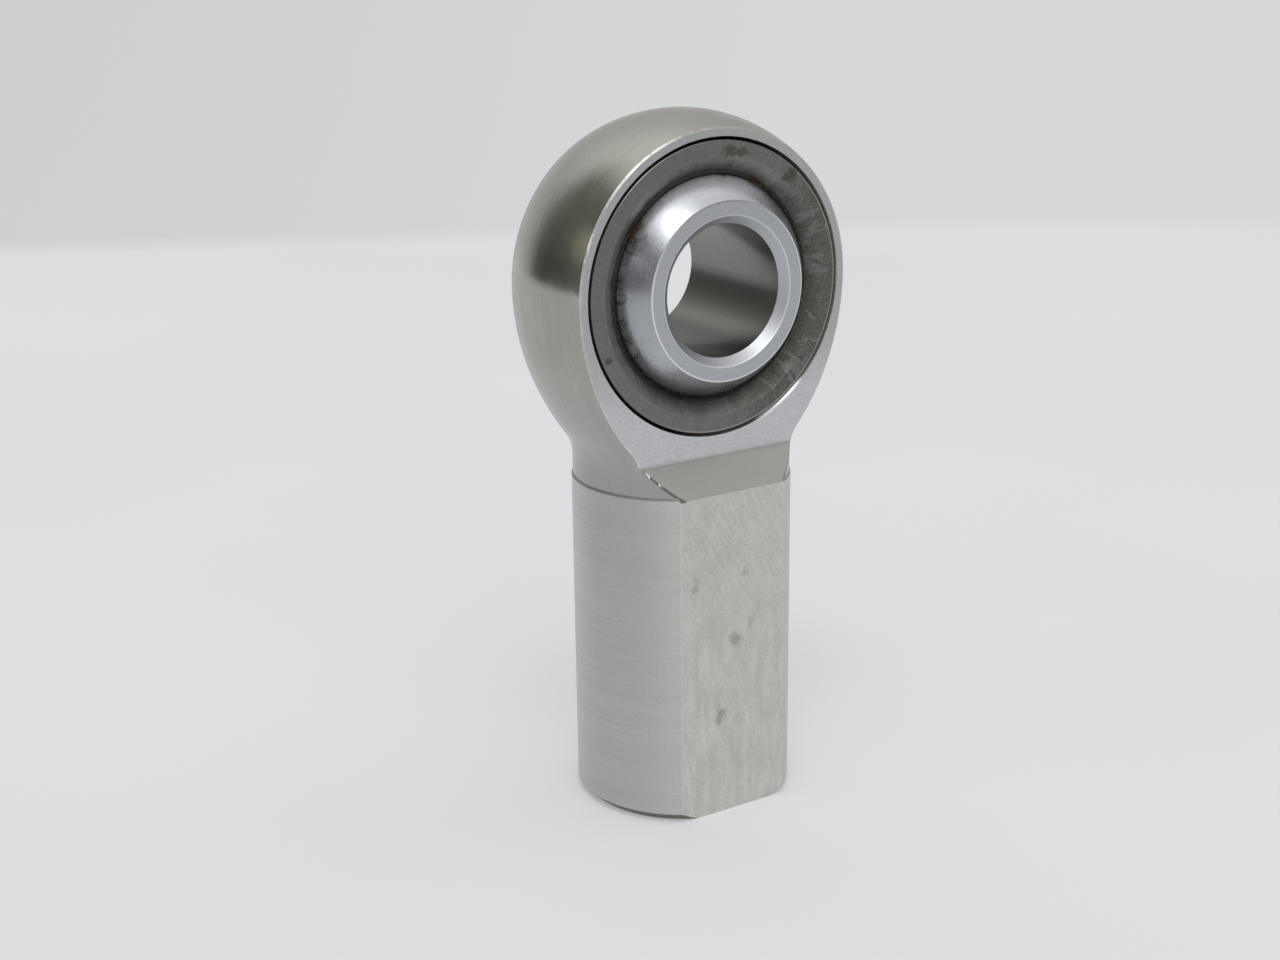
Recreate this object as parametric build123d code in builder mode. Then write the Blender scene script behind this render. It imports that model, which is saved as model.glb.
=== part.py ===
from build123d import *
import math
import os

# Spherical rod end bearing, female (internally threaded) shank, 7/16 inch class.
# Frame: millimetres, origin at the centre of the ball, +Z up, the bore along Y,
# the shank hanging down along -Z, its flat end resting on the ground.

INCH = 25.4

# --- head and shank (one turned and milled piece)
HEAD_RADIUS = 1.125 / 2 * INCH          # turned head, upper half is a sphere
HEAD_HALF_WIDTH = 0.437 / 2 * INCH      # milled faces of the head, at y = +/- this
CENTRE_TO_END = 1.812 * INCH            # ball centre to the shank's end face
SHANK_RADIUS = 0.750 / 2 * INCH
FLATS_HALF = 0.625 / 2 * INCH           # wrench flats on the shank, at y = +/- this
SHOULDER_ARC = 21.8                     # flatter arc from the head's equator to the neck
NECK_FILLET = 3.5                       # concave fillet under the shoulder
NECK_RADIUS = 9.42                      # the neck is turned a little under the shank
TURNING_NOSE = 0.4                      # tool nose radius, leaves a cove where the neck ends
SHANK_TOP = -16.84                      # height where the full shank diameter starts
BEVEL_TOP = -14.27                      # the milled bevel from head face ...
BEVEL_BOTTOM = -16.84                   # ... out to the shank's flat
BEVEL_FILLET = 0.5                      # cutter radius left in the bevel's upper corner
END_CHAMFER = 0.75                      # turned chamfer round the shank's end
EDGE_BREAK = 0.12                       # deburred outer edge of the head faces

# --- seat of the race in the head
SEAT_RADIUS = 12.15
SEAT_MOUTH_RADIAL = 0.30                # small chamfer, shows as the fine groove round the race
SEAT_MOUTH_AXIAL = 0.48

# --- internal thread, 7/16-20 UNF
THREAD_PITCH = INCH / 20
THREAD_MAJOR = 0.4375 / 2 * INCH
THREAD_MINOR = 4.97
THREAD_FLANK = math.radians(30)         # half of the 60 degree thread angle
THREAD_DEPTH = 1.062 * INCH
DRILL_DEPTH = 29.2                      # full-diameter depth of the tapping hole
DRILL_POINT = math.radians(59)          # half of the 118 degree drill point
THREAD_MOUTH = 5.85                     # radius of the 45 degree countersink at the mouth

# --- swaged outer race
RACE_CORNER = 0.05
RACE_LAND_RADIUS = 10.85                # inner edge of the flat annular land
RACE_THROAT_Y = 4.60                    # where the countersink meets the spherical seat
RACE_SPHERE = 10.70

# --- woven liner lining the race
BOND_LINE = 0.02                        # thin layer between liner and race
BALL_CLEARANCE = 0.02                   # radial, liner to ball
LINER_HALF_WIDTH = 4.62

# --- ball
BALL_RADIUS = 0.8125 / 2 * INCH
BALL_HALF_WIDTH = 0.5625 / 2 * INCH
BORE_RADIUS = 0.4375 / 2 * INCH
BORE_CHAMFER = 0.70
BALL_EDGE_BREAK = 0.08

MARGIN = 2.0                            # overshoot of cutting tools past the stock
NEAR = 0.01                             # tolerance for picking edges by their place

os.makedirs("parts", exist_ok=True)


# --- thread cutting tool: a 60 degree groove on a helix, run in past the end face
THREAD_HEIGHT = THREAD_MAJOR - THREAD_MINOR
TOOL_OVERLAP = 0.06                     # the cutter reaches this far inside the minor diameter
GROOVE_ROOT = THREAD_PITCH / 16         # half of the flat at the groove's root
GROOVE_OPEN = GROOVE_ROOT + (THREAD_HEIGHT + TOOL_OVERLAP) * math.tan(THREAD_FLANK)

with BuildPart() as thread_tool:
    with BuildLine():
        lead = Helix(
            pitch=THREAD_PITCH,
            height=THREAD_DEPTH + THREAD_PITCH,
            radius=THREAD_MAJOR,
            center=(0, 0, -CENTRE_TO_END - THREAD_PITCH),
        )
    with BuildSketch(Plane(origin=lead @ 0, x_dir=(1, 0, 0), z_dir=lead % 0)):
        with BuildLine():
            Polyline(
                (0, GROOVE_ROOT),
                (-THREAD_HEIGHT - TOOL_OVERLAP, GROOVE_OPEN),
                (-THREAD_HEIGHT - TOOL_OVERLAP, -GROOVE_OPEN),
                (0, -GROOVE_ROOT),
                close=True,
            )
        make_face()
    sweep(path=lead, is_frenet=True)


# --- rod end body: head, neck and shank in one piece
SHOULDER_CENTRE_X = HEAD_RADIUS - SHOULDER_ARC
FILLET_CENTRE_X = NECK_RADIUS + NECK_FILLET
FILLET_REACH_X = FILLET_CENTRE_X - SHOULDER_CENTRE_X
FILLET_CENTRE_Z = -math.sqrt((SHOULDER_ARC + NECK_FILLET) ** 2 - FILLET_REACH_X ** 2)
SHOULDER_SWEEP = math.degrees(math.atan2(-FILLET_CENTRE_Z, FILLET_REACH_X))
COVE_STEP = SHANK_RADIUS - NECK_RADIUS
COVE_ANGLE = math.acos((TURNING_NOSE - COVE_STEP) / TURNING_NOSE)
COVE_TOP = SHANK_TOP + TURNING_NOSE * math.sin(COVE_ANGLE)

with BuildPart() as rod_end_body:
    # turned outline
    with BuildSketch(Plane.XZ):
        with BuildLine():
            CenterArc((0, 0), HEAD_RADIUS, 0, 90)
            shoulder = CenterArc((SHOULDER_CENTRE_X, 0), SHOULDER_ARC, 0, -SHOULDER_SWEEP)
            neck = TangentArc(shoulder @ 1, (NECK_RADIUS, FILLET_CENTRE_Z), tangent=shoulder % 1)
            Line(neck @ 1, (NECK_RADIUS, COVE_TOP))
            cove = CenterArc(
                (NECK_RADIUS + TURNING_NOSE, COVE_TOP),
                TURNING_NOSE,
                180,
                math.degrees(COVE_ANGLE),
            )
            Polyline(
                cove @ 1,
                (SHANK_RADIUS, -CENTRE_TO_END + END_CHAMFER),
                (SHANK_RADIUS - END_CHAMFER, -CENTRE_TO_END),
                (0, -CENTRE_TO_END),
                (0, HEAD_RADIUS),
            )
        make_face()
    revolve(axis=Axis.Z)

    # head faces, bevels and wrench flats, milled on both sides
    with BuildSketch(Plane.YZ):
        with BuildLine():
            Polyline(
                (HEAD_HALF_WIDTH, HEAD_RADIUS + MARGIN),
                (HEAD_HALF_WIDTH, BEVEL_TOP),
                (FLATS_HALF, BEVEL_BOTTOM),
                (FLATS_HALF, -CENTRE_TO_END - MARGIN),
                (HEAD_RADIUS + MARGIN, -CENTRE_TO_END - MARGIN),
                (HEAD_RADIUS + MARGIN, HEAD_RADIUS + MARGIN),
                close=True,
            )
        flank = make_face()
        corners = flank.vertices().filter_by_position(Axis.Y, BEVEL_TOP - NEAR, BEVEL_TOP + NEAR)
        fillet(corners, BEVEL_FILLET)
        mirror(about=Plane.YZ)
    extrude(amount=HEAD_RADIUS + MARGIN, both=True, mode=Mode.SUBTRACT)

    # deburred outer edges of the head faces, sphere and shoulder together
    rim = rod_end_body.edges().filter_by(
        lambda e: abs(abs(e.center().Y) - HEAD_HALF_WIDTH) < NEAR and e.geom_type != GeomType.LINE
    )
    chamfer(rim, EDGE_BREAK)

    # seat of the race, with its small mouth chamfers
    with BuildSketch(Plane.XY):
        with BuildLine():
            Polyline(
                (0, HEAD_HALF_WIDTH + MARGIN),
                (SEAT_RADIUS + SEAT_MOUTH_RADIAL, HEAD_HALF_WIDTH + MARGIN),
                (SEAT_RADIUS + SEAT_MOUTH_RADIAL, HEAD_HALF_WIDTH),
                (SEAT_RADIUS, HEAD_HALF_WIDTH - SEAT_MOUTH_AXIAL),
                (SEAT_RADIUS, -HEAD_HALF_WIDTH + SEAT_MOUTH_AXIAL),
                (SEAT_RADIUS + SEAT_MOUTH_RADIAL, -HEAD_HALF_WIDTH),
                (SEAT_RADIUS + SEAT_MOUTH_RADIAL, -HEAD_HALF_WIDTH - MARGIN),
                (0, -HEAD_HALF_WIDTH - MARGIN),
                close=True,
            )
        make_face()
    revolve(axis=Axis.Y, mode=Mode.SUBTRACT)

    # blind tapping hole with drill point and countersunk mouth
    with BuildSketch(Plane.XZ):
        with BuildLine():
            Polyline(
                (0, -CENTRE_TO_END - MARGIN),
                (THREAD_MOUTH + MARGIN, -CENTRE_TO_END - MARGIN),
                (THREAD_MINOR, -CENTRE_TO_END + THREAD_MOUTH - THREAD_MINOR),
                (THREAD_MINOR, -CENTRE_TO_END + DRILL_DEPTH),
                (0, -CENTRE_TO_END + DRILL_DEPTH + THREAD_MINOR / math.tan(DRILL_POINT)),
                close=True,
            )
        make_face()
    revolve(axis=Axis.Z, mode=Mode.SUBTRACT)

    # the thread itself
    add(thread_tool.part, mode=Mode.SUBTRACT)

rod_end_body.part.label = "rod_end_body"
export_step(rod_end_body.part, "parts/rod_end_body.step")


# --- outer race: cylindrical outside, spherical inside, swaged round the ball
with BuildPart() as outer_race:
    with BuildSketch(Plane.XY):
        with BuildLine():
            outside = Polyline(
                (math.sqrt(RACE_SPHERE ** 2 - RACE_THROAT_Y ** 2), -RACE_THROAT_Y),
                (RACE_LAND_RADIUS, -HEAD_HALF_WIDTH),
                (SEAT_RADIUS - RACE_CORNER, -HEAD_HALF_WIDTH),
                (SEAT_RADIUS, -HEAD_HALF_WIDTH + RACE_CORNER),
                (SEAT_RADIUS, HEAD_HALF_WIDTH - RACE_CORNER),
                (SEAT_RADIUS - RACE_CORNER, HEAD_HALF_WIDTH),
                (RACE_LAND_RADIUS, HEAD_HALF_WIDTH),
                (math.sqrt(RACE_SPHERE ** 2 - RACE_THROAT_Y ** 2), RACE_THROAT_Y),
            )
            ThreePointArc(outside @ 1, (RACE_SPHERE, 0), outside @ 0)
        make_face()
    revolve(axis=Axis.Y)

outer_race.part.label = "outer_race"
export_step(outer_race.part, "parts/outer_race.step")


# --- liner: thin woven shell between race and ball
LINER_OUTER = RACE_SPHERE - BOND_LINE
LINER_INNER = BALL_RADIUS + BALL_CLEARANCE

with BuildPart() as ptfe_liner:
    with BuildSketch(Plane.XY):
        with BuildLine():
            inner = ThreePointArc(
                (math.sqrt(LINER_INNER ** 2 - LINER_HALF_WIDTH ** 2), -LINER_HALF_WIDTH),
                (LINER_INNER, 0),
                (math.sqrt(LINER_INNER ** 2 - LINER_HALF_WIDTH ** 2), LINER_HALF_WIDTH),
            )
            outer = ThreePointArc(
                (math.sqrt(LINER_OUTER ** 2 - LINER_HALF_WIDTH ** 2), -LINER_HALF_WIDTH),
                (LINER_OUTER, 0),
                (math.sqrt(LINER_OUTER ** 2 - LINER_HALF_WIDTH ** 2), LINER_HALF_WIDTH),
            )
            Line(inner @ 0, outer @ 0)
            Line(inner @ 1, outer @ 1)
        make_face()
    revolve(axis=Axis.Y)

ptfe_liner.part.label = "ptfe_liner"
export_step(ptfe_liner.part, "parts/ptfe_liner.step")


# --- ball: truncated sphere with a plain chamfered bore
BALL_FACE_RADIUS = math.sqrt(BALL_RADIUS ** 2 - BALL_HALF_WIDTH ** 2)

with BuildPart() as ball:
    with BuildSketch(Plane.XY):
        with BuildLine():
            sphere_side = ThreePointArc(
                (BALL_FACE_RADIUS, -BALL_HALF_WIDTH),
                (BALL_RADIUS, 0),
                (BALL_FACE_RADIUS, BALL_HALF_WIDTH),
            )
            Polyline(
                sphere_side @ 1,
                (BORE_RADIUS + BORE_CHAMFER, BALL_HALF_WIDTH),
                (BORE_RADIUS, BALL_HALF_WIDTH - BORE_CHAMFER),
                (BORE_RADIUS, -BALL_HALF_WIDTH + BORE_CHAMFER),
                (BORE_RADIUS + BORE_CHAMFER, -BALL_HALF_WIDTH),
                sphere_side @ 0,
            )
        make_face()
    revolve(axis=Axis.Y)
    rings = ball.edges().filter_by(GeomType.CIRCLE)
    face_rims = rings.filter_by(
        lambda e: abs(abs(e.center().Y) - BALL_HALF_WIDTH) < NEAR
        and abs(e.radius - BALL_FACE_RADIUS) < NEAR
    )
    chamfer(face_rims, BALL_EDGE_BREAK)

ball.part.label = "ball"
export_step(ball.part, "parts/ball.step")
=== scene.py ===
import math
import random
from types import SimpleNamespace

import bmesh
import bpy
from mathutils import Matrix, Vector


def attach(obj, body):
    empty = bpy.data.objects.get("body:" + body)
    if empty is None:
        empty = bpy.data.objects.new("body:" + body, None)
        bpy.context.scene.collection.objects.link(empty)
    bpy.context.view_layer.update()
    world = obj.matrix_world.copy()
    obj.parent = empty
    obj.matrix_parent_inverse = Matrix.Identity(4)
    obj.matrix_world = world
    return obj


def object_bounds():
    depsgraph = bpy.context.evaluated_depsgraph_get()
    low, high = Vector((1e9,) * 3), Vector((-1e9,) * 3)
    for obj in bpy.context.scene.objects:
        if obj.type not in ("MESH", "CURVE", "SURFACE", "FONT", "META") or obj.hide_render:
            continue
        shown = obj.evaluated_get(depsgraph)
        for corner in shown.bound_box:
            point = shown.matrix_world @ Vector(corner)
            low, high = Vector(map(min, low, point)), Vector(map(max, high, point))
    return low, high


# Rod end bearing: materials, the liner's frayed edge, table, room, light and camera.
# The frame is in metres. Lengths here are in millimetres, and MM turns them into metres.
# The bore runs along Y with the front face at -Y, and the shank points down to -Z.

MM = 0.001

# --- sizes of the part
HEAD_HALF_WIDTH = 5.55          # the milled faces of the head are at y = +/- this
BEVEL_TOP = -14.27              # the bevel goes from the head face, at this height ...
SHANK_TOP = -16.84              # ... down to the wrench flat and the shank
BEVEL_HALF_HEIGHT = 1.35
BEVEL_OUT, BEVEL_UP = 0.732, 0.681      # the bevel's unit normal, out of the face and up
SHANK_RADIUS = 9.525
SHANK_END = -46.02
FLAT_HALF_WIDTH = 5.27          # the wrench flats reach out to x = +/- this
SEAT_RADIUS = 12.15             # of the race in the head, without the seat's chamfer
RACE_LAND_RADIUS = 10.85        # inner edge of the race's flat land
LINER_RADIUS = 10.33            # of the sphere inside the liner
LINER_EDGE_Y = 4.62
LINER_EDGE_RADIUS = 9.24        # inner rim of the liner's visible edge
BALL_FACE_RADIUS = 7.447        # the ball's flat end faces reach out to here
BORE_RADIUS = 5.556

# --- marks on front and back: (x, z, reach, depth)
FLAT_SPOTS = (
    (-3.9, -24.5, 0.6, 0.35),
    (0.2, -30.2, 0.8, 0.45),
    (1.1, -24.2, 0.5, 0.3),
    (1.9, -28.9, 0.5, 0.25),
    (-1.3, -36.9, 0.7, 0.5),
)
RACE_STAINS = (
    (1.2, 11.2, 0.85, 0.72),
    (2.4, 11.0, 0.6, 0.72),
    (7.4, 8.7, 0.75, 0.72),
    (-10.6, -4.6, 0.42, 0.72),
)
RACE_DIRT_SHADE_RADIUS = 9.5          # the dirt and painted shade beside the ball fade out from here

# --- frayed edge of the liner; turns are degrees round the bore, 0 at the top and 90 at +X
LINER_TUFTS = (-55.0, 29.0)     # brown tufts
TUFT_SPREAD = 0.08              # radians
TRIMMED_TURN = -20.0            # the threads are shortest here
THREADS_PER_SIDE = 2200
THREAD_LENGTH = (0.04, 0.15)
THREAD_LIFT = (0.05, 0.30)      # height of a thread's root above the liner's inner sphere
THREAD_LEAN = (-0.03, 0.03)     # radians round the bore
THREAD_BEND = (-0.10, 0.12)     # how much higher the tip is than the root
THREAD_WIDTH = (0.012, 0.028)   # from the middle of a thread to its corners
FRINGES = (("liner_fringe_front", 1, 11), ("liner_fringe_back", -1, 23))   # name, side, seed
# loose curls: turn, spread in degrees, number
LINER_CURLS = (
    (-57.0, 6.0, 12),
    (-86.0, 9.0, 9),
    (-122.0, 12.0, 8),
    (29.0, 8.0, 6),
    (80.0, 60.0, 7),
)
CURL_STEPS = 14
CURL_HEADING = (-0.8, 0.8)      # radians, 0 runs straight out of the gap
CURL_BEND = (0.2, 0.65)         # radians a step, either way
CURL_STRIDE = (0.08, 0.14)
CURL_WIDTH = (0.024, 0.042)
CURL_STRAIGHT_STEPS = 4         # a curl runs straight for this many steps, then bends
CURL_PATH_RADIUS = 9.3          # a curl's steps round the bore are taken at this radius

# --- table, light and camera
TABLE_TURN = -28.0
TABLE_FADE_START = 283.0        # half sides of the rounded square in which the table fades out
TABLE_FADE_END = 313.0
TABLE_GLOW = 0.29               # fills the light that a whole bright room would add
KEY_LIGHT = {"azimuth": -36, "elevation": 62, "distance": 1.2, "size": 0.32, "power": 2.5}
CAMERA_AZIMUTH = -32.5
CAMERA_ELEVATION = 17.0
CAMERA_ROLL = -0.7
CAMERA_DISTANCE = 160.1
CAMERA_AIM_RIGHT = -3.37        # the camera looks at this point beside the ball's centre
CAMERA_AIM_UP = -17.02
CAMERA_LENS = 53.25
CAMERA_SENSOR = 36.0
CAMERA_NEAR = 0.005             # metres

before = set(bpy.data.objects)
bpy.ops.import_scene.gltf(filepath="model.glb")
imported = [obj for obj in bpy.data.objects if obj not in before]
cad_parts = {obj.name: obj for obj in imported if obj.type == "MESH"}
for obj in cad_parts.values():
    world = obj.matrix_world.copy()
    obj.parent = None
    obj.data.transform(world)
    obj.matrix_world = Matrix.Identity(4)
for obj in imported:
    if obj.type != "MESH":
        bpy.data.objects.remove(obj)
cad_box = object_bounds()


def direction(azimuth, elevation):
    """Unit vector from the part; azimuth 0 is the front (-Y), 90 the right (+X)."""
    a, e = math.radians(azimuth), math.radians(elevation)
    return Vector((math.sin(a) * math.cos(e), -math.cos(a) * math.cos(e), math.sin(e)))


def grey(value, warm=0.0, pink=0.0):
    """A near-neutral colour: warm leans yellow, or blue below 0; pink takes out green."""
    green = 1 - 0.12 * max(warm, 0.0) - 0.35 * min(warm, 0.0) - pink
    return (value, value * green, value * (1 - warm), 1.0)


# ---------------------------------------------------------------- node helpers

class Nodes:
    """A node tree being built. Most methods add nodes and return the last one's output socket.

    A value given to a method is a number, a tuple or another node's output socket.
    """

    def __init__(self, tree):
        self.tree = tree
        tree.nodes.clear()

    def put(self, socket, value):
        """Links the value to a socket if it is an output, and sets it there otherwise."""
        if isinstance(value, bpy.types.NodeSocket):
            self.tree.links.new(value, socket)
        else:
            socket.default_value = value

    def node(self, kind, inputs=None, **settings):
        """Adds a node and returns it; inputs goes by socket name or number."""
        made = self.tree.nodes.new(kind)
        for key, value in settings.items():
            setattr(made, key, value)
        for key, value in (inputs or {}).items():
            self.put(made.inputs[key], value)
        return made

    def split(self, vector):
        return self.node("ShaderNodeSeparateXYZ", {0: vector}).outputs

    def join(self, x, y, z):
        return self.node("ShaderNodeCombineXYZ", {0: x, 1: y, 2: z}).outputs[0]

    def scaled(self, vector, scale):
        made = self.node("ShaderNodeVectorMath", {0: vector, "Scale": scale}, operation="SCALE")
        return made.outputs[0]

    def math(self, operation, a, b=0.0):
        return self.node("ShaderNodeMath", {0: a, 1: b}, operation=operation).outputs[0]

    def add(self, a, b):
        return self.math("ADD", a, b)

    def mul(self, a, b):
        return self.math("MULTIPLY", a, b)

    def most(self, a, b):
        return self.math("MAXIMUM", a, b)

    def length(self, a, b):
        """Length of the vector (a, b)."""
        return self.math("SQRT", self.add(self.mul(a, a), self.mul(b, b)))

    def ramp(self, value, low, high, to_low=0.0, to_high=1.0):
        """Smooth step from to_low where value is low to to_high where it is high."""
        inputs = {0: value, 1: low, 2: high, 3: to_low, 4: to_high}
        made = self.node("ShaderNodeMapRange", inputs, interpolation_type="SMOOTHSTEP")
        return made.outputs[0]

    def band(self, value, centre, half, soft):
        """1 where value is within half of centre, falling to 0 over soft."""
        off = self.math("ABSOLUTE", self.math("SUBTRACT", value, centre))
        return self.ramp(off, half, half + soft, 1.0, 0.0)

    def mix(self, factor, a, b):
        """Colour a where factor is 0, colour b where it is 1."""
        made = self.node("ShaderNodeMix", {0: factor, 6: a, 7: b}, data_type="RGBA")
        return made.outputs[2]

    def blend(self, factor, a, b):
        """Number a where factor is 0, number b where it is 1."""
        made = self.node("ShaderNodeMix", {0: factor, 2: a, 3: b}, data_type="FLOAT")
        return made.outputs[0]

    def over(self, color, tint, mask, amount=1.0):
        """color, with amount of tint laid over it where mask is 1."""
        return self.mix(mask if amount == 1.0 else self.mul(mask, amount), color, tint)

    def noise(self, place, scale, detail=2.0, roughness=0.5, w=None):
        """Noise about 0.5 at a place; w picks another pattern, or changes it slowly."""
        inputs = {"Vector": place, "Scale": scale, "Detail": detail, "Roughness": roughness}
        if w is None:
            made = self.node("ShaderNodeTexNoise", inputs, noise_dimensions="3D")
        else:
            made = self.node("ShaderNodeTexNoise", {**inputs, "W": w}, noise_dimensions="4D")
        return made.outputs[0]


class Shader(Nodes):
    """A material. place is in the part's frame in millimetres, and so are x, y and z."""

    def __init__(self, name):
        self.material = bpy.data.materials.new(name)
        self.material.use_nodes = True
        super().__init__(self.material.node_tree)
        coords = self.node("ShaderNodeTexCoord")
        self.place = self.scaled(coords.outputs["Object"], 1 / MM)
        self.x, self.y, self.z = self.split(self.place)
        self.nx, self.ny, self.nz = self.split(coords.outputs["Normal"])

    def turned(self, a, b, along, fine, coarse, rings=0.0, detail=3.0, seed=0.0):
        """Tool marks on circles in the plane of a and b.

        The noise goes by coarse round a circle, by fine along the axis, by rings outwards.
        """
        radius = self.most(self.length(a, b), 0.01)
        way = self.join(self.math("DIVIDE", a, radius), self.math("DIVIDE", b, radius), 0.0)
        lift = self.join(0.0, 0.0, self.mul(along, fine))
        place = self.node(
            "ShaderNodeVectorMath", {0: self.scaled(way, coarse), 1: lift}, operation="ADD"
        )
        w = self.add(self.mul(radius, rings), seed)
        return self.noise(place.outputs[0], 1.0, detail=detail, roughness=0.65, w=w)

    def blots(self, marks, soft=1.0, flatten=0.75):
        """Ragged patches at (x, z, reach, depth), the same on the front and the back."""
        rough = self.add(self.noise(self.place, 1.2, detail=5.0, roughness=0.7, w=3.0), -0.5)
        patches = 0.0
        for x, z, reach, depth in marks:
            off = self.length(self.add(self.x, -x), self.mul(self.add(self.z, -z), flatten))
            off = self.add(off, self.mul(rough, reach * 3.2))
            patch = self.ramp(off, reach * (1.0 - 0.8 * soft), reach * 1.15, 1.0, 0.0)
            patches = self.most(patches, self.mul(patch, depth))
        return patches

    def arc(self, turn, half, soft):
        """1 on the stretch of a ring within half degrees of turn; 0 is the top, 90 is +X."""
        off = self.math("SUBTRACT", self.math("ARCTAN2", self.x, self.z), math.radians(turn))
        off = self.math("ABSOLUTE", off)
        return self.ramp(off, math.radians(half), math.radians(half + soft), 1.0, 0.0)

    def bump(self, height, distance, strength=1.0):
        inputs = {"Height": height, "Distance": distance * MM, "Strength": strength}
        return self.node("ShaderNodeBump", inputs).outputs[0]

    def surface(self, color, roughness, normal=None, metallic=1.0, specular=0.5,
                brushed=0.0, across=None, **more):
        """The shader. across, in the part's frame, is the direction across brushed marks."""
        inputs = {
            "Base Color": color,
            "Roughness": roughness,
            "Metallic": metallic,
            "Specular IOR Level": specular,
            "Anisotropic": brushed,
            **more,
        }
        if normal is not None:
            inputs["Normal"] = normal
        if across is not None:
            turn = self.node(
                "ShaderNodeVectorTransform",
                {0: across},
                vector_type="VECTOR",
                convert_from="OBJECT",
                convert_to="WORLD",
            )
            inputs["Tangent"] = turn.outputs[0]
        return self.node("ShaderNodeBsdfPrincipled", inputs).outputs[0]

    def finish(self, shading):
        """Shows the shading, and returns the material."""
        self.node("ShaderNodeOutputMaterial", {0: shading})
        return self.material


# ---------------------------------------------------------------- the housing's steel

def body_zones(s):
    """Masks that are 1 on one zone of the housing."""
    side_on = s.math("ABSOLUTE", s.ny)
    face_depth = s.math("ABSOLUTE", s.y)
    mouth_radius = s.length(s.x, s.z)
    flat = s.ramp(side_on, 0.96, 0.99)
    low = s.ramp(s.z, SHANK_TOP - 0.03, SHANK_TOP + 0.03, 1.0, 0.0)
    zone = SimpleNamespace()
    zone.head_face = s.mul(flat, s.ramp(s.z, BEVEL_TOP - 0.35, BEVEL_TOP + 0.1))
    zone.wrench_flat = s.mul(flat, low)
    zone.shank = s.mul(low, s.ramp(flat, 0.2, 0.8, 1.0, 0.0))
    zone.flat_edge = s.mul(low, s.band(s.math("ABSOLUTE", s.x), FLAT_HALF_WIDTH, 0.05, 0.06))
    zone.cove = s.band(s.z, SHANK_TOP + 0.08, 0.14, 0.10)
    below_edge = s.ramp(s.z, SHANK_END + 0.72, SHANK_END + 0.82, 1.0, 0.0)
    zone.end_chamfer = s.mul(s.ramp(s.nz, -0.5, -0.3, 1.0, 0.0), below_edge)

    # bevel, the rounded corner above it, which gets painted light, and its left end, with
    # painted shade along it and painted glints on the cutter's burr
    bevel_height = s.band(s.z, (BEVEL_TOP + SHANK_TOP) / 2, BEVEL_HALF_HEIGHT, 0.1)
    sloped = s.mul(s.band(side_on, 0.72, 0.08, 0.04), s.band(s.nx, 0.0, 0.04, 0.02))
    zone.bevel = s.mul(sloped, bevel_height)
    top_line = s.band(s.z, BEVEL_TOP + 0.02, 0.06, 0.34)
    zone.bevel_line = s.mul(top_line, s.band(s.nx, 0.0, 0.06, 0.04))
    beyond = s.add(
        s.mul(s.add(face_depth, -HEAD_HALF_WIDTH), BEVEL_OUT),
        s.mul(s.add(s.z, -BEVEL_TOP), BEVEL_UP),
    )
    on_rim = s.ramp(s.length(s.x, s.y), SHANK_RADIUS - 0.325, SHANK_RADIUS - 0.225)
    bevel_end = s.mul(s.mul(bevel_height, s.band(beyond, 0.0, 0.05, 0.05)), on_rim)
    zone.bevel_end = s.mul(bevel_end, s.ramp(s.x, 1.0, -1.0))
    ragged = s.ramp(s.noise(s.place, 2.6, detail=2.0, w=8.0), 0.46, 0.54)
    zone.burr = s.mul(s.mul(zone.bevel_end, ragged), s.band(s.z, BEVEL_TOP - 0.75, 0.45, 0.2))

    # broken edge round the head face, worn, with painted glints on a long stretch, on nicks and
    # on two breaks
    near_face = s.mul(
        s.ramp(face_depth, HEAD_HALF_WIDTH - 0.16, HEAD_HALF_WIDTH - 0.1),
        s.ramp(mouth_radius, SEAT_RADIUS + 0.35, SEAT_RADIUS + 0.45),
    )
    rounded = s.mul(s.band(side_on, 0.70, 0.2, 0.06), near_face)
    zone.edge = s.mul(rounded, s.ramp(s.z, BEVEL_TOP + 0.1, BEVEL_TOP + 0.3))
    zone.worn = s.ramp(s.noise(s.place, 0.9, detail=5.0, roughness=0.75, w=7.0), 0.35, 0.65)
    glint = s.mul(s.arc(-33.0, 8.0, 14.0), s.ramp(zone.worn, 0.0, 0.5))
    nick_glints = s.ramp(s.noise(s.place, 3.4, detail=2.0, w=5.0), 0.60, 0.68)
    break_glints = s.ramp(s.noise(s.place, 1.6, detail=2.0, w=5.0), 0.40, 0.50)
    glint = s.most(glint, s.mul(s.arc(-45.0, 26.0, 28.0), nick_glints))
    zone.glint = s.most(glint, s.mul(s.arc(-67.5, 3.5, 1.5), break_glints))

    # groove round the race, with painted shade in it except at the lower right, where a painted
    # glint lies on its lip
    groove = s.band(mouth_radius, SEAT_RADIUS + 0.06, 0.14, 0.06)
    upper_left = s.ramp(s.add(s.x, s.mul(s.z, -0.4)), -1.0, 4.0, 0.8, 0.0)
    zone.dark_groove = s.mul(groove, upper_left)
    seat_lip = s.band(mouth_radius, SEAT_RADIUS + 0.27, 0.15, 0.05)
    zone.seat_glint = s.mul(seat_lip, s.arc(148.0, 7.0, 9.0))
    return zone


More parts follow.
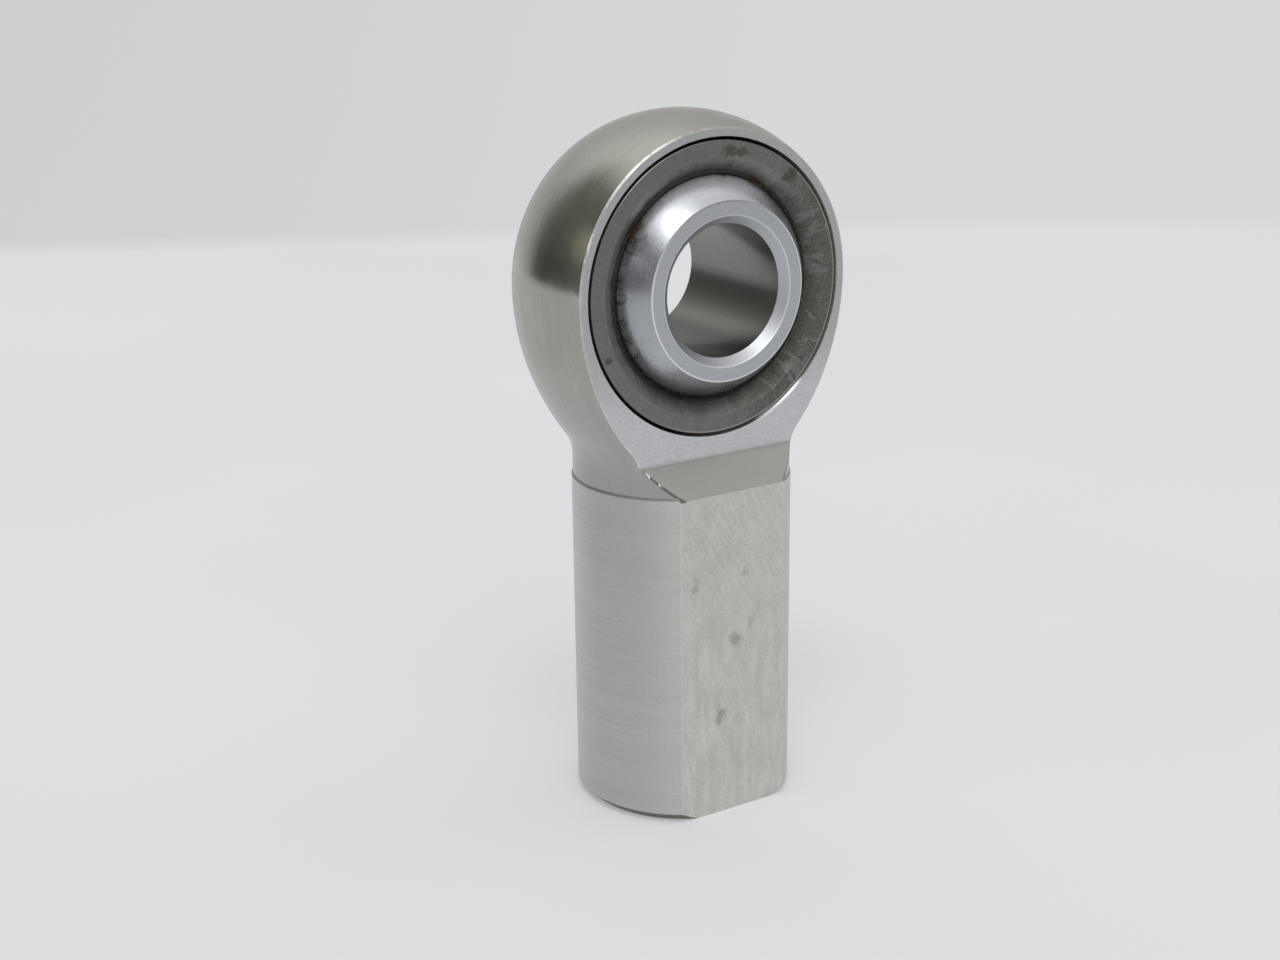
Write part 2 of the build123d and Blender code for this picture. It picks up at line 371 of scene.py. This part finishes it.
def body_marks(s):
    """Noise for the fine marks that each tool left on the housing."""
    mark = SimpleNamespace()
    mark.polish = s.turned(s.x, s.z, s.y, fine=3.2, coarse=1.1, detail=4.0, seed=3.0)
    mark.polish_fine = s.turned(s.x, s.z, s.y, fine=7.0, coarse=2.5, detail=4.0, seed=8.0)
    mark.lathe = s.turned(s.x, s.y, s.z, fine=0.5, coarse=0.5, seed=1.0)
    mark.lathe_fine = s.turned(s.x, s.y, s.z, fine=5.5, coarse=0.5, seed=5.0)
    along_bevel = s.join(s.mul(s.x, 0.16), 0.0, s.mul(s.z, 5.0))
    mark.milling = s.noise(along_bevel, 1.0, detail=3.0, roughness=0.6)
    mark.ground = s.noise(s.place, 6.0, detail=4.0, roughness=0.75)

    # wipes on the wrench flats, slanted above and upright below
    steep = s.add(s.mul(s.x, 0.85), s.mul(s.z, 0.5))
    drawn = s.add(s.mul(s.z, 0.85), s.mul(s.x, -0.5))
    slanted = s.join(s.mul(steep, 3.0), 0.0, s.mul(drawn, 0.4))
    crossing = s.join(s.mul(drawn, 2.6), 0.0, s.mul(steep, 0.7))
    upright = s.join(s.mul(s.x, 1.2), 0.0, s.mul(s.z, 0.3))
    slanted = s.noise(slanted, 1.0, detail=5.0, roughness=0.7, w=2.0)
    crossing = s.noise(crossing, 1.0, detail=4.0, roughness=0.7, w=6.0)
    upright = s.noise(upright, 1.0, detail=5.0, roughness=0.7, w=9.0)
    mark.wipes = s.blend(s.ramp(s.z, -38.0, -20.0), upright, s.blend(0.2, slanted, crossing))
    return mark


def flat_color(s, mark):
    """Wrench flats: scuffed warm grey with faint smudges and a few greasy spots."""
    color = s.mix(
        s.ramp(mark.wipes, 0.35, 0.65), grey(0.63, 0.075, 0.008), grey(0.72, 0.08, 0.008)
    )
    color = s.over(color, grey(0.54, 0.06, 0.008), s.ramp(mark.ground, 0.5, 0.75), 0.35)
    smudge = s.join(s.mul(s.x, 0.34), s.mul(s.y, 0.3), s.mul(s.z, 0.22))
    smudge = s.ramp(s.noise(smudge, 1.0, detail=6.0, roughness=0.72, w=4.6), 0.5, 0.78)
    color = s.over(color, grey(0.47, 0.04), smudge, 0.4)
    return s.over(color, grey(0.22, 0.04), s.blots(FLAT_SPOTS))


def body_color(s, zone, mark):
    """Colours of the housing, from the head down and then the edges."""
    # polished head, cooler towards the shank as a painted reflection, with painted shade at the
    # neck and painted light on the cove
    lower_reflection = s.ramp(s.z, -4.0, -13.0)
    tone = s.noise(s.place, 0.16, detail=3.0, roughness=0.55)
    color = s.mix(s.ramp(tone, 0.3, 0.7), grey(0.40, 0.11), grey(0.445, 0.11))
    color = s.mix(lower_reflection, color, grey(0.43, 0.02))
    color = s.over(color, grey(0.33, 0.12), s.ramp(mark.polish, 0.4, 0.7), 0.25)
    color = s.over(color, grey(0.30, 0.10), s.ramp(mark.polish_fine, 0.4, 0.7), 0.15)
    # painted shade darkens the neck, and painted light pales the cove below it
    color = s.over(color, grey(0.33, 0.0), s.ramp(s.z, -13.6, -16.6, 0.0, 0.35))
    color = s.over(color, grey(0.5, 0.0), zone.cove, 0.4)

    turned = s.mix(
        s.ramp(mark.lathe, 0.35, 0.65), grey(0.58, 0.035, 0.01), grey(0.605, 0.035, 0.01)
    )
    turned = s.over(turned, grey(0.50, 0.03, 0.01), s.ramp(mark.lathe_fine, 0.35, 0.7), 0.35)
    color = s.over(color, turned, zone.shank)

    # painted light: the head face is paler towards its bottom
    face = s.mix(s.ramp(s.z, -10.5, -4.0), grey(0.71, -0.03), grey(0.56, -0.01))
    face = s.over(face, grey(0.52, 0.0), s.ramp(mark.ground, 0.4, 0.7), 0.3)
    color = s.over(color, face, zone.head_face)

    milled = s.mix(s.ramp(mark.milling, 0.3, 0.7), grey(0.43, 0.06), grey(0.50, 0.07))
    color = s.over(color, milled, zone.bevel)
    # painted light on the rounded corner above the bevel
    color = s.over(color, grey(0.75, 0.04), zone.bevel_line, 0.5)
    color = s.over(color, flat_color(s, mark), zone.wrench_flat)
    # painted highlight along the edges of the wrench flats
    color = s.over(color, grey(0.80, 0.05), zone.flat_edge, 0.25)

    # painted reflection: the broken edge is paler lower down; its tone varies with wear, and the
    # glints on it are painted highlights
    upper_edge = s.mix(zone.worn, grey(0.52, 0.08), grey(0.62, 0.06))
    lower_edge = s.mix(zone.worn, grey(0.60, 0.07), grey(0.72, 0.06))
    edge = s.mix(lower_reflection, upper_edge, lower_edge)
    color = s.over(color, s.mix(zone.glint, edge, grey(0.97, 0.03)), zone.edge)
    # painted shade along the bevel's left end, and painted glints on its burr
    painted_end_shade = s.mul(zone.bevel_end, s.ramp(s.z, BEVEL_TOP - 0.63, BEVEL_TOP - 0.33, 0.75, 0.1))
    color = s.over(color, grey(0.10, 0.1), painted_end_shade)
    color = s.over(color, grey(0.97, 0.02), zone.burr)
    # painted glint on the groove's lip at the lower right
    color = s.over(color, grey(0.98, 0.02), zone.seat_glint)
    # painted shade on the chamfer at the shank's end
    color = s.over(color, grey(0.22, 0.08), zone.end_chamfer)
    color = s.over(color, grey(0.20, 0.1), s.ramp(mark.ground, 0.45, 0.75, 0.0, 0.20))
    # painted shade in the groove round the race, except at the lower right
    return s.over(color, grey(0.06, 0.2), zone.dark_groove)


def body_roughness(s, zone, mark):
    """Roughness of the housing: glossy head, satin shank, matt flats and cove."""
    cloud = s.noise(s.place, 0.7, detail=4.0, roughness=0.6)
    polished = s.blend(s.ramp(mark.polish_fine, 0.3, 0.7), 0.15, 0.23)
    roughness = s.blend(s.ramp(cloud, 0.35, 0.7), polished, s.add(polished, 0.05))
    for mask, value in (
        (zone.cove, 0.55),
        (zone.shank, s.ramp(mark.lathe_fine, 0.3, 0.7, 0.39, 0.43)),
        (zone.head_face, s.ramp(mark.ground, 0.3, 0.7, 0.38, 0.48)),
        (zone.bevel, s.ramp(mark.milling, 0.3, 0.7, 0.32, 0.44)),
        (zone.bevel_line, 0.65),
        (zone.wrench_flat, s.ramp(mark.wipes, 0.35, 0.65, 0.52, 0.42)),
        (zone.edge, s.blend(zone.glint, 0.36, 0.16)),
        (zone.seat_glint, 0.30),
    ):
        roughness = s.blend(mask, roughness, value)
    return roughness


def body_height(s, zone, mark):
    """Height of the housing's fine marks, for the bump."""
    satin = s.mul(mark.ground, 0.10)
    polished = s.add(s.add(mark.polish, s.mul(mark.polish_fine, 0.5)), satin)
    height = s.blend(zone.shank, polished, s.add(s.mul(mark.lathe_fine, 0.16), satin))
    height = s.blend(zone.head_face, height, s.mul(mark.ground, 0.4))
    height = s.blend(zone.bevel, height, s.mul(mark.milling, 0.5))
    scuffed = s.add(s.mul(mark.wipes, 0.38), s.mul(mark.ground, 0.25))
    return s.blend(zone.wrench_flat, height, scuffed)


def body_steel():
    """Satin stainless: polished head, milled faces and bevel, turned shank, scuffed flats."""
    s = Shader("body_steel")
    zone = body_zones(s)
    mark = body_marks(s)
    # marks run round the bore axis on the head, round the stem on the shank, along the bevel
    below_head = s.most(zone.shank, zone.bevel)
    across = s.mix(below_head, (0.0, 1.0, 0.0, 1.0), (0.0, 0.0, 1.0, 1.0))
    across = s.mix(zone.wrench_flat, across, (1.0, 0.0, 0.3, 1.0))
    return s.finish(s.surface(
        body_color(s, zone, mark),
        body_roughness(s, zone, mark),
        s.bump(body_height(s, zone, mark), 0.012, 0.6),
        brushed=0.65,
        across=across,
    ))


# ---------------------------------------------------------------- other materials

def race_steel():
    """Dark turned race: flat land, countersink to the ball, dirt and painted shade beside the
    ball, streaks, stains and a painted highlight on the rim.
    """
    s = Shader("race_steel")
    radius = s.length(s.x, s.z)
    land = s.ramp(radius, RACE_LAND_RADIUS - 0.12, RACE_LAND_RADIUS + 0.12)
    rim = s.ramp(radius, SEAT_RADIUS - 0.22, SEAT_RADIUS - 0.10)
    rings = s.turned(s.x, s.z, s.y, fine=2.0, coarse=1.5, rings=9.0, seed=2.0)
    grain = s.noise(s.place, 5.5, detail=4.0, roughness=0.7)

    # marks that run outwards: their noise changes quickly round the ring and slowly across
    way = s.join(s.math("DIVIDE", s.x, radius), 0.0, s.math("DIVIDE", s.z, radius))
    rays = s.noise(s.scaled(way, 30.0), 1.0, detail=3.0, w=s.mul(radius, 0.3))
    outwards = s.add(s.mul(radius, 0.35), 4.0)
    ragged = s.noise(s.scaled(way, 9.0), 1.0, detail=6.0, roughness=0.65, w=outwards)

    right = s.ramp(s.add(s.x, s.mul(s.z, -0.25)), 2.0, 9.0)
    patches = s.mul(right, s.ramp(ragged, 0.52, 0.44))
    smear = s.ramp(ragged, s.blend(right, 0.66, 0.44), s.blend(right, 0.76, 0.56))
    drips = s.mul(right, s.band(ragged, 0.47, 0.008, 0.02))
    # dirt and painted shade beside the ball, reaching less far on the left
    dirt_shade_reach = s.blend(s.arc(-80.0, 35.0, 35.0), 1.2, 0.45)
    dirt_shade_end = s.add(dirt_shade_reach, RACE_DIRT_SHADE_RADIUS + 0.1)
    dirt_shade_place = s.add(radius, s.mul(s.add(ragged, -0.5), -2.2))
    dirt_and_shade = s.ramp(dirt_shade_place, RACE_DIRT_SHADE_RADIUS, dirt_shade_end, 1.0, 0.0)
    lit_rim = s.mul(rim, s.ramp(s.add(s.x, s.mul(s.z, -0.7)), -3.0, 8.0, 0.0, 0.6))

    color = s.mix(land, grey(0.28, 0.07), grey(0.205, 0.05))
    color = s.over(color, grey(0.28, 0.09), s.ramp(rays, 0.45, 0.7), 0.25)
    color = s.over(color, grey(0.115, 0.12), s.mul(right, s.blend(land, 0.8, 0.25)))
    color = s.over(color, grey(0.25, 0.06), patches, 0.25)
    color = s.over(color, grey(0.10, 0.22), smear, 0.5)
    color = s.over(color, grey(0.06, 0.3), drips, 0.6)
    color = s.over(color, grey(0.075, 0.38), s.blots(RACE_STAINS, soft=0.15, flatten=1.4))
    color = s.over(color, grey(0.06, 0.2), dirt_and_shade, 0.75)
    color = s.over(color, grey(0.36, 0.08), s.ramp(grain, 0.48, 0.7), 0.3)
    color = s.over(color, grey(0.10, 0.10), s.ramp(grain, 0.46, 0.3), 0.3)
    color = s.over(color, grey(0.48, 0.10), lit_rim)
    sheen = s.add(s.mul(rings, 0.5), s.mul(ragged, 0.5))
    roughness = s.ramp(sheen, 0.3, 0.7, 0.38, 0.58)
    height = s.add(s.add(s.mul(rings, 0.8), s.mul(rays, 0.4)), s.mul(grain, 0.35))
    return s.finish(s.surface(color, roughness, s.bump(height, 0.012, 0.6), metallic=0.92))


def brown_patches(s):
    """Where the liner's brown binder shows, on the cloth and on its loose threads."""
    return s.ramp(s.noise(s.place, 0.5, detail=4.0, roughness=0.7, w=2.0), 0.62, 0.72)


def liner_fabric():
    """Woven dark liner, fuzzy, paler where it is trimmed, with brown binder in places."""
    s = Shader("liner_fabric")
    weft = s.math("SINE", s.mul(s.math("ARCTAN2", s.x, s.z), 190.0))
    warp = s.math("SINE", s.mul(s.y, 22.0))
    weave = s.mul(weft, warp)
    fuzz = s.noise(s.place, 9.0, detail=5.0, roughness=0.7)
    radius = s.add(s.length(s.x, s.z), s.mul(fuzz, 0.2))
    outer = s.ramp(radius, LINER_EDGE_RADIUS + 0.21, LINER_EDGE_RADIUS + 0.41)
    trimmed = s.ramp(radius, LINER_EDGE_RADIUS + 0.16, LINER_EDGE_RADIUS + 0.28)
    trimmed = s.mul(trimmed, s.arc(-25.0, 30.0, 40.0))
    color = s.mix(
        s.ramp(fuzz, 0.35, 0.7), (0.006, 0.006, 0.006, 1.0), (0.032, 0.029, 0.025, 1.0)
    )
    color = s.over(color, (0.07, 0.067, 0.06, 1.0), outer, 0.5)
    color = s.over(color, (0.115, 0.113, 0.105, 1.0), trimmed, 0.2)
    color = s.over(color, (0.085, 0.045, 0.02, 1.0), brown_patches(s), 0.5)
    normal = s.bump(s.add(s.mul(weave, 0.4), fuzz), 0.03)
    return s.finish(s.surface(color, 0.85, normal, metallic=0.0, specular=0.3))


def fibre_material():
    """Loose threads of the liner's cloth: mostly black, brown in the tufts and in places."""
    s = Shader("liner_fibre")
    brown = brown_patches(s)
    speckled = s.ramp(s.noise(s.place, 4.0, detail=2.0, w=4.0), 0.42, 0.55)
    for turn in LINER_TUFTS:
        brown = s.most(brown, s.mul(s.arc(turn, 4.0, 5.0), speckled))
    tone = s.ramp(s.noise(s.place, 5.0, detail=2.0), 0.3, 0.7)
    color = s.mix(tone, (0.006, 0.005, 0.005, 1.0), (0.03, 0.025, 0.02, 1.0))
    color = s.over(color, (0.13, 0.07, 0.028, 1.0), brown)
    return s.finish(s.surface(color, 0.8, metallic=0.0, specular=0.3))


def ball_steel():
    """Hard chrome look: finely lapped sphere, matt end faces, painted highlights on the rims,
    honed bore, with painted light and shade on the sphere and in the bore.
    """
    s = Shader("ball_steel")
    radius = s.length(s.x, s.z)
    side_on = s.math("ABSOLUTE", s.ny)
    end = s.ramp(side_on, 0.97, 0.995)
    chamfer = s.mul(
        s.band(side_on, 0.707, 0.04, 0.02), s.band(radius, BORE_RADIUS + 0.35, 0.38, 0.02)
    )
    rim = s.mul(s.band(side_on, 0.85, 0.08, 0.03), s.band(radius, BALL_FACE_RADIUS, 0.15, 0.05))
    lip = s.mul(s.band(radius, BORE_RADIUS + 0.70, 0.03, 0.04), s.ramp(side_on, 0.6, 0.7))
    bore = s.mul(
        s.ramp(radius, BORE_RADIUS + 0.05, BORE_RADIUS + 0.1, 1.0, 0.0),
        s.ramp(side_on, 0.2, 0.3, 1.0, 0.0),
    )
    # painted light: a paler, less metallic patch at the top of the sphere
    painted_top_light = s.mul(s.ramp(side_on, 0.69, 0.57), s.ramp(s.z, 2.0, 7.0))
    painted_top_light = s.mul(painted_top_light, s.arc(-4.0, 20.0, 30.0))
    lapped = s.turned(s.x, s.z, s.y, fine=14.0, coarse=3.0, seed=6.0)
    faced = s.turned(s.x, s.z, s.y, fine=1.0, coarse=2.5, rings=11.0, seed=4.0)
    honed = s.turned(s.x, s.z, s.y, fine=6.0, coarse=2.0, seed=7.0)
    haze = s.noise(s.place, 0.55, detail=4.0, roughness=0.6)
    mottle = s.noise(s.place, 6.5, detail=3.0, roughness=0.7, w=1.5)
    pit = s.ramp(s.noise(s.place, 7.0, detail=3.0), 0.58, 0.72)
    cells = s.node("ShaderNodeTexVoronoi", {"Vector": s.place, "Scale": 1.15})
    speck = s.ramp(cells.outputs[0], 0.05, 0.10, 1.0, 0.0)
    speck = s.mul(speck, s.ramp(s.noise(s.place, 0.5, detail=1.0), 0.5, 0.55))

    color = s.mix(s.ramp(haze, 0.3, 0.7), grey(0.46, -0.09), grey(0.52, -0.09))
    color = s.over(color, grey(0.40, -0.09), s.ramp(mottle, 0.42, 0.62), 0.35)
    color = s.over(color, grey(0.68, -0.09), painted_top_light, 0.5)
    # painted shade on the left of the sphere
    color = s.over(color, grey(0.33, -0.10), s.arc(-92.0, 12.0, 24.0), 0.4)
    color = s.over(color, grey(0.53, -0.08), s.most(end, chamfer))
    # painted highlights on the rim of the end faces and on the lip of the bore's chamfer
    color = s.over(color, grey(0.75, -0.02), rim)
    color = s.over(color, grey(0.80, -0.03), lip)
    # painted shade at the bottom of the bore
    bore_color = s.mix(s.ramp(s.z, -3.9, -5.0), grey(0.235, 0.08), grey(0.13, 0.08))
    color = s.over(color, bore_color, bore)
    color = s.over(color, grey(0.30, 0.0), pit, 0.3)
    color = s.over(color, grey(0.08, 0.1), speck, 0.7)
    sheen = s.add(s.mul(lapped, 0.5), s.mul(haze, 0.5))
    roughness = s.ramp(sheen, 0.3, 0.7, 0.25, 0.31)
    roughness = s.blend(end, roughness, s.ramp(faced, 0.3, 0.7, 0.40, 0.50))
    roughness = s.blend(chamfer, roughness, 0.46)
    roughness = s.blend(bore, roughness, s.ramp(honed, 0.3, 0.7, 0.27, 0.30))
    height = s.blend(end, s.add(s.mul(lapped, 0.15), s.mul(mottle, 0.8)), faced)
    height = s.blend(bore, height, s.add(s.mul(honed, 0.05), s.mul(mottle, 0.08)))
    return s.finish(s.surface(
        color,
        roughness,
        s.bump(height, 0.006, 0.6),
        metallic=s.blend(painted_top_light, 1.0, 0.55),
        brushed=0.05,
        across=(0.0, 1.0, 0.0),
    ))


def table_material():
    """Pale table top that fades out softly towards its edge."""
    s = Shader("table")
    tone = s.noise(s.place, 0.012, detail=2.0)
    grain = s.noise(s.place, 1.2, detail=3.0)
    color = s.mix(s.ramp(tone, 0.3, 0.7), grey(0.45, -0.04), grey(0.47, -0.04))
    glow = {"Emission Color": grey(1.0, -0.045), "Emission Strength": TABLE_GLOW}
    top = s.surface(color, 0.6, s.bump(grain, 0.02, 0.2), metallic=0.0, specular=0.1, **glow)
    clear = s.node("ShaderNodeBsdfTransparent").outputs[0]
    square = s.add(s.math("POWER", s.x, 4.0), s.math("POWER", s.y, 4.0))
    reach = s.math("POWER", square, 0.25)
    fade = s.ramp(reach, TABLE_FADE_START, TABLE_FADE_END)
    return s.finish(s.node("ShaderNodeMixShader", {0: fade, 1: top, 2: clear}).outputs[0])


# ---------------------------------------------------------------- frayed edge of the liner

def on_sphere(front, y, turn, above):
    """A point a little above the liner's inner sphere, y in front of the ball's centre.

    front is 1 for the front and -1 for the back, turn is the angle round the bore.
    """
    reach = LINER_RADIUS + above
    radius = math.sqrt(reach * reach - y * y)
    return Vector((radius * math.sin(turn), -front * y, radius * math.cos(turn))) * MM


def add_ring(mesh, centre, a, b, half):
    """Three vertices round a thread, in the plane of the unit vectors a and b."""
    corners = []
    for corner in range(3):
        spin = corner * 2 * math.pi / 3
        offset = a * math.cos(spin) + b * math.sin(spin)
        corners.append(mesh.verts.new(centre + offset * half))
    return corners


def bridge(mesh, near, far):
    """The three sides of a thread between two rings."""
    for i in range(3):
        j = (i + 1) % 3
        mesh.faces.new((near[i], near[j], far[j], far[i]))


def add_fibre(mesh, root, tip, side, width):
    """One short thread: a thin tapered spike, bent in the middle."""
    middle = (root + tip) / 2 + side * width * 2.0
    across = (tip - root).cross(side).normalized()
    foot = add_ring(mesh, root, side, across, width)
    waist = add_ring(mesh, middle, side, across, width * 0.8)
    point = mesh.verts.new(tip)
    bridge(mesh, foot, waist)
    for i in range(3):
        mesh.faces.new((waist[i], waist[(i + 1) % 3], point))
    mesh.faces.new(foot[::-1])


def add_curl(mesh, rng, front, turn):
    """One long loose thread, which starts at the liner's edge and curls above the ball."""
    heading = rng.uniform(*CURL_HEADING)
    bend = rng.uniform(*CURL_BEND) * rng.choice((-1, 1))
    stride = rng.uniform(*CURL_STRIDE)
    width = rng.uniform(*CURL_WIDTH) * MM
    y, angle = LINER_EDGE_Y - 0.05, turn
    points = []
    for step in range(CURL_STEPS + 1):
        above = 0.08 + 0.14 * math.sin(math.pi * step / CURL_STEPS)
        points.append(on_sphere(front, y, angle, above))
        y += stride * math.cos(heading)
        angle += stride * math.sin(heading) / CURL_PATH_RADIUS
        if step >= CURL_STRAIGHT_STEPS:
            heading += bend
    rings = []
    for step, point in enumerate(points):
        along = points[min(step + 1, CURL_STEPS)] - points[max(step - 1, 0)]
        out = point.normalized()
        beside = along.normalized().cross(out).normalized()
        half = width * (1.0 - 0.5 * step / CURL_STEPS)
        rings.append(add_ring(mesh, point, beside, out, half))
    for near, far in zip(rings, rings[1:]):
        bridge(mesh, near, far)
    mesh.faces.new(rings[0][::-1])
    mesh.faces.new(rings[-1])


def liner_fringe(name, front, seed):
    """Frayed edge of the liner on one face: short threads in the gap, and loose curls."""
    rng = random.Random(seed)
    mesh = bmesh.new()
    start_y = LINER_EDGE_Y - 0.06
    for _ in range(THREADS_PER_SIDE):
        angle = rng.uniform(0, 2 * math.pi)
        tuft = 0.5 + 0.5 * math.sin(7 * angle + seed) * math.sin(3 * angle + 1.0)
        trimmed = (0.5 + 0.5 * math.cos(angle - math.radians(TRIMMED_TURN))) ** 2
        length = rng.uniform(*THREAD_LENGTH) + 0.14 * tuft * rng.random()
        length *= 1.15 - 0.6 * trimmed
        heap = 0.0
        for turn in LINER_TUFTS:
            off = math.remainder(angle - math.radians(turn), 2 * math.pi)
            heap += math.exp(-(off / TUFT_SPREAD) ** 2) * rng.random()
        length += 0.5 * heap
        lift = rng.uniform(*THREAD_LIFT)
        lean = rng.uniform(*THREAD_LEAN)
        bend = rng.uniform(*THREAD_BEND)
        tip_lift = max(THREAD_LIFT[0], lift + bend) + 0.2 * heap
        root = on_sphere(front, start_y, angle, lift)
        tip = on_sphere(front, start_y + length, angle + lean, tip_lift)
        side = Vector((math.cos(angle), 0, -math.sin(angle)))
        add_fibre(mesh, root, tip, side, rng.uniform(*THREAD_WIDTH) * MM)
    for turn, spread, curls in LINER_CURLS:
        for _ in range(curls):
            add_curl(mesh, rng, front, math.radians(rng.gauss(turn, spread)))
    return add_object(name, mesh)


# ---------------------------------------------------------------- stage, light, camera

def add_object(name, mesh):
    """Turns a bmesh into an object of the scene."""
    data = bpy.data.meshes.new(name)
    mesh.to_mesh(data)
    mesh.free()
    made = bpy.data.objects.new(name, data)
    bpy.context.scene.collection.objects.link(made)
    return made


def make_table():
    """Large round sheet under the part, of which the material shows a rounded square."""
    mesh = bmesh.new()
    bmesh.ops.create_circle(mesh, cap_ends=True, segments=96, radius=2 * TABLE_FADE_END * MM)
    table = add_object("table", mesh)
    table.location.z = cad_box[0].z
    table.rotation_euler.z = math.radians(TABLE_TURN)
    table.data.materials.append(table_material())


class Room(Nodes):
    """The world's node tree. Its masks pick directions, in degrees, seen from the part."""

    def __init__(self, world):
        world.use_nodes = True
        super().__init__(world.node_tree)
        self.way = self.node("ShaderNodeTexCoord").outputs["Generated"]
        self.x, self.y, self.z = self.split(self.way)

    def toward(self, azimuth, elevation, inner, outer):
        """1 within inner degrees of a direction, 0 beyond outer degrees."""
        inputs = {0: self.way, 1: direction(azimuth, elevation)}
        dot = self.node("ShaderNodeVectorMath", inputs, operation="DOT_PRODUCT")
        low, high = math.cos(math.radians(outer)), math.cos(math.radians(inner))
        return self.ramp(dot.outputs["Value"], low, high)

    def side(self, azimuth, inner, outer):
        """1 within inner degrees of a compass direction, 0 beyond outer degrees."""
        aim = direction(azimuth, 0)
        along = self.add(self.mul(self.x, aim.x), self.mul(self.y, aim.y))
        level = self.math("SQRT", self.math("SUBTRACT", 1.0001, self.mul(self.z, self.z)))
        angle = self.math("ARCCOSINE", self.math("DIVIDE", along, level))
        return self.ramp(angle, math.radians(outer), math.radians(inner))

    def below(self, inner, outer):
        """1 up to inner degrees above the horizon, 0 over outer degrees."""
        low, high = math.sin(math.radians(outer)), math.sin(math.radians(inner))
        return self.ramp(self.z, low, high)


def make_world():
    """Pale room that the steel reflects, and the plain grey that the camera sees behind."""
    world = bpy.data.worlds.new("room")
    bpy.context.scene.world = world
    room = Room(world)
    wall = (0.54, 0.54, 0.545, 1)
    far_side = room.mul(room.mul(room.side(138, 18, 45), room.below(46, 74)), 0.45)
    color = (1.05, 1.05, 1.05, 1)       # ceiling
    for mask, tint in (
        (room.below(12, 72), wall),
        (room.below(-2, 26), (0.72, 0.72, 0.725, 1)),                       # foot of the wall
        (far_side, wall),
        (room.toward(-92, 20, 21, 48), (0.17, 0.17, 0.18, 1)),              # dim left side
        (room.toward(30, 14, 15, 42), (0.24, 0.24, 0.25, 1)),               # front right
        (room.mul(room.side(-123, 20, 42), room.below(44, 82)), (0.20, 0.195, 0.175, 1)),
        (room.mul(room.side(-132, 13, 27), room.below(4, 40)), (0.09, 0.088, 0.085, 1)),
        (room.toward(-103, 22, 4, 14), (0.54, 0.53, 0.44, 1)),              # olive patch
        (room.toward(-77, 24, 1.2, 1.8), (8.0, 8.0, 7.7, 1)),               # two small lamps
        (room.toward(-70, 18, 0.6, 1.2), (8.0, 8.0, 7.7, 1)),
        (room.toward(-34, 62, 10, 29), (1.7, 1.7, 1.67, 1)),                # round the key light
        (room.below(-6, -3), (0.76, 0.77, 0.80, 1)),                        # table
    ):
        color = room.mix(mask, color, tint)
    behind = room.mix(
        room.toward(180, 5, 8, 42), (0.68, 0.685, 0.70, 1), (0.61, 0.62, 0.632, 1)
    )
    seen = room.node("ShaderNodeLightPath").outputs["Is Camera Ray"]
    background = room.node("ShaderNodeBackground", {0: room.mix(seen, color, behind)})
    room.node("ShaderNodeOutputWorld", {0: background.outputs[0]})


def soft_light(name, azimuth, elevation, distance, size, power):
    """Round studio light that faces the ball; distance and size are in metres."""
    light = bpy.data.lights.new(name, "AREA")
    light.shape = "DISK"
    light.size = size
    light.energy = power
    lamp = bpy.data.objects.new(name, light)
    away = direction(azimuth, elevation)
    lamp.location = away * distance
    lamp.rotation_euler = away.to_track_quat("Z", "Y").to_euler()
    bpy.context.scene.collection.objects.link(lamp)


def make_camera():
    """Close three-quarter view from the front left, looking slightly down."""
    back = direction(CAMERA_AZIMUTH, CAMERA_ELEVATION)
    roll = Matrix.Rotation(math.radians(CAMERA_ROLL), 3, "Z")
    turn = back.to_track_quat("Z", "Y").to_matrix() @ roll
    right, up = turn.col[0], turn.col[1]
    target = (right * CAMERA_AIM_RIGHT + up * CAMERA_AIM_UP) * MM
    camera = bpy.data.objects.new("camera", bpy.data.cameras.new("camera"))
    camera.data.lens = CAMERA_LENS
    camera.data.sensor_width = CAMERA_SENSOR
    camera.data.clip_start = CAMERA_NEAR
    camera.location = target + back * CAMERA_DISTANCE * MM
    camera.rotation_euler = turn.to_euler()
    bpy.context.scene.collection.objects.link(camera)
    bpy.context.scene.camera = camera


# ---------------------------------------------------------------- build

looks = {
    "rod_end_body": body_steel(),
    "outer_race": race_steel(),
    "ptfe_liner": liner_fabric(),
    "ball": ball_steel(),
}
for node_name, material in looks.items():
    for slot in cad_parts[node_name].material_slots:
        slot.material = material

fibre = fibre_material()
for fringe_name, front, seed in FRINGES:
    fringe = liner_fringe(fringe_name, front, seed)
    fringe.data.materials.append(fibre)
    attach(fringe, "housing")

make_table()
make_world()
soft_light("key_light", **KEY_LIGHT)
make_camera()
bpy.context.scene.view_settings.view_transform = "Standard"
